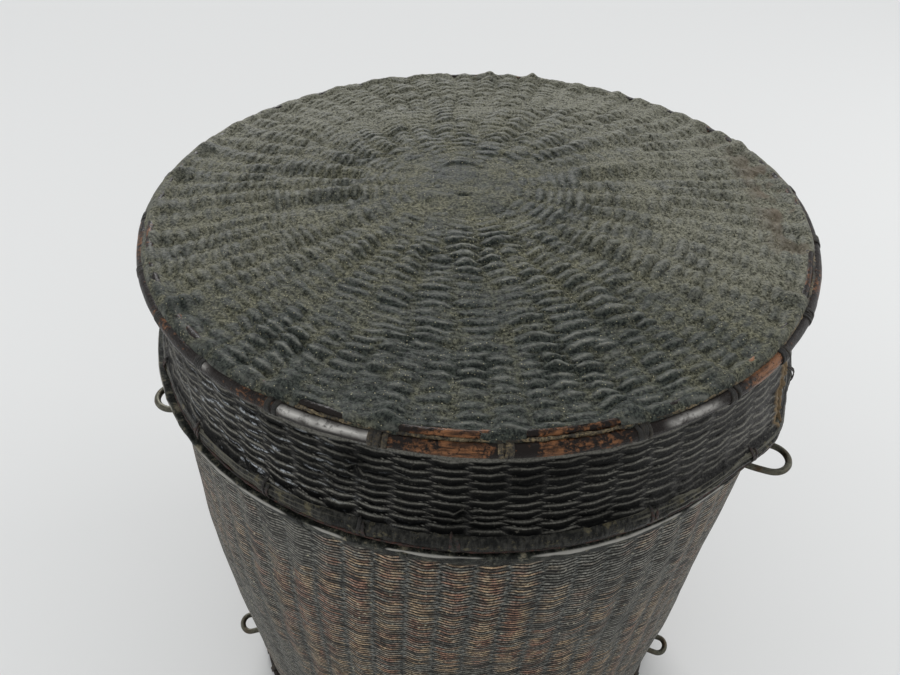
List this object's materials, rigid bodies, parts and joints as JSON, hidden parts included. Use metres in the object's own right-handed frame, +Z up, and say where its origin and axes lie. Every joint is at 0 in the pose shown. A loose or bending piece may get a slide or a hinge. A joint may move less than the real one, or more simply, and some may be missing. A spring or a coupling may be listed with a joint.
{
  "type": "lidded basket",
  "caption": "Round standing storage basket in lacquered plain weave, with a deep slip-over lid, lashed rattan rims and wire cord eyes at the sides.",
  "frame": {"origin": "centre of the foot, on the plane the basket stands on", "axes": "+Z up through the lid, +X to the right and +Y away from the viewer as pictured"},
  "size_m": [0.3652, 0.3544, 0.3901],
  "materials": {
    "top_weave": "dusty worn black lacquer over plain weave",
    "centre_patch": "smooth worn black lacquer",
    "skirt_weave": "glossy black lacquer over plain weave",
    "rim_rods": "dark red-brown lacquered rattan, worn bare in places",
    "hem_rod": "black lacquered rattan",
    "ledge_rod": "smooth black lacquered rattan",
    "lid_inner_rods": "smoked bare rattan",
    "rim_binding": "worn fibre lashing",
    "hem_binding": "lacquered fibre lashing",
    "ledge_binding": "lacquered fibre lashing",
    "body_weave": "smoked plain weave, lacquer worn to grey and tan",
    "base_weave": "smoked bare weave",
    "collar_weave": "smoked bare weave",
    "collar_rods": "smoked bare rattan",
    "collar_binding": "fibre lashing",
    "foot_rods": "black lacquered rattan, worn below",
    "foot_binding": "lacquered fibre lashing",
    "wire": "dull dark iron wire"
  },
  "bodies": {
    "basket": {"body_base": "base_weave", "body_collar": "collar_weave", "body_ledge_lashing": "ledge_binding", "body_ledge_rod": "ledge_rod", "body_wall": "body_weave", "collar_lashing": "collar_binding", "collar_rod": "collar_rods", "collar_strip": "collar_rods", "foot_inner_rod": "foot_rods", "foot_lashing": "foot_binding", "foot_rod": "foot_rods", "loop_lower_left": "wire", "loop_lower_right": "wire", "loop_upper_left": "wire", "loop_upper_right": "wire"},
    "lid": {"lid_centre_patch": "centre_patch", "lid_corner_rod": "lid_inner_rods", "lid_hem_lashing": "hem_binding", "lid_hem_rod": "hem_rod", "lid_hem_strip": "lid_inner_rods", "lid_rim_lashing": "rim_binding", "lid_rim_rod": "rim_rods", "lid_skirt": "skirt_weave", "lid_top_panel": "top_weave", "lid_upper_rod": "rim_rods"}
  },
  "joints": [
    {"name": "lid_lift", "type": "slide", "parent": "basket", "child": "lid", "axis": [0, 0, 1], "range_m": [0, 0.12]}
  ]
}
